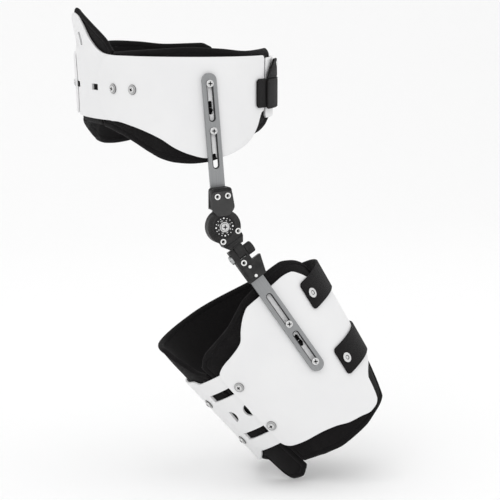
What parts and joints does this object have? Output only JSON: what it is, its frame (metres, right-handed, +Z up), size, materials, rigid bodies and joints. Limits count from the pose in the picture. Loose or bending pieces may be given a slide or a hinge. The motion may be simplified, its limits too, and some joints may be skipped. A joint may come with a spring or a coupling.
{
  "type": "hip abduction brace",
  "caption": "Hip abduction brace: padded plastic pelvic band, slotted metal uprights with a flexion hinge and an abduction pivot, and a padded thigh cuff with straps.",
  "frame": {"origin": "centre of the pelvic band's oval at the middle of its height, where the wearer's pelvis holds it", "axes": "+X to the wearer's front, -Y to the wearer's right where the hinge is, +Z up"},
  "size_m": [0.3324, 0.3852, 0.5595],
  "materials": {
    "shell": "moulded white plastic sheet, semi-matte",
    "foam": "black foam faced with brushed fabric",
    "webbing": "black woven webbing with loop pile",
    "upright": "satin anodised grey",
    "hinge": "charcoal moulded plastic, fine grain",
    "dial": "black plastic",
    "steel": "bright nickel-plated steel",
    "eyelet": "white lacquered metal ring"
  },
  "bodies": {
    "pelvis": {"lumbar_panel": "shell", "right_hip_panel": "shell", "left_hip_panel": "shell", "lumbar_liner": "foam", "right_hip_liner": "foam", "left_hip_liner": "foam", "right_rear_panel_screw": "steel", "right_front_panel_screw": "steel", "left_rear_panel_screw": "steel", "left_front_panel_screw": "steel", "belly_hook_pad": "webbing", "belly_strap": "webbing", "belly_strap_tab": "webbing", "belly_strap_ring": "steel", "upper_bar_screw_1": "steel", "upper_bar_screw_2": "steel"},
    "upper_upright": {"upper_bar": "upright", "hinge_bracket": "hinge", "bracket_eyelet_1": "eyelet", "bracket_eyelet_2": "eyelet", "hinge_dial": "dial", "hinge_centre_screw": "steel"},
    "hinge_plate": {"hinge_plate": "hinge", "plate_eyelet_1": "eyelet", "plate_eyelet_2": "eyelet"},
    "lower_upright": {"lower_block": "hinge", "block_eyelet": "eyelet", "block_stud_1": "eyelet", "block_stud_2": "eyelet", "abduction_pin": "steel", "abduction_knob": "hinge", "lower_bar": "upright"},
    "thigh_cuff": {"thigh_lateral_panel": "shell", "thigh_posterior_panel": "shell", "thigh_lateral_liner": "foam", "thigh_posterior_liner": "foam", "right_cuff_screw_1": "steel", "right_cuff_screw_2": "steel", "left_cuff_screw_1": "steel", "left_cuff_screw_2": "steel", "lower_bar_screw_1": "steel", "lower_bar_screw_2": "steel", "upper_thigh_strap": "webbing", "lower_thigh_strap": "webbing", "upper_strap_rivet": "steel", "lower_strap_rivet": "steel"}
  },
  "joints": [
    {"name": "upper_bar_slide", "type": "slide", "parent": "pelvis", "child": "upper_upright", "axis": [-0.0811, 0, 0.9967], "range_m": [0, 0.04]},
    {"name": "hip_flexion", "type": "hinge", "parent": "upper_upright", "child": "hinge_plate", "pos_m": [0.001, -0.174, -0.1485], "axis": [0, -1, 0], "range_deg": [-28.85, 46]},
    {"name": "hip_abduction", "type": "hinge", "parent": "hinge_plate", "child": "lower_upright", "pos_m": [0.02308, -0.181, -0.18186], "axis": [-0.8339, 0, -0.5519], "range_deg": [-10, 20]},
    {"name": "lower_bar_slide", "type": "slide", "parent": "lower_upright", "child": "thigh_cuff", "axis": [-0.5435, 0.1736, 0.8212], "range_m": [0, 0.04]}
  ]
}
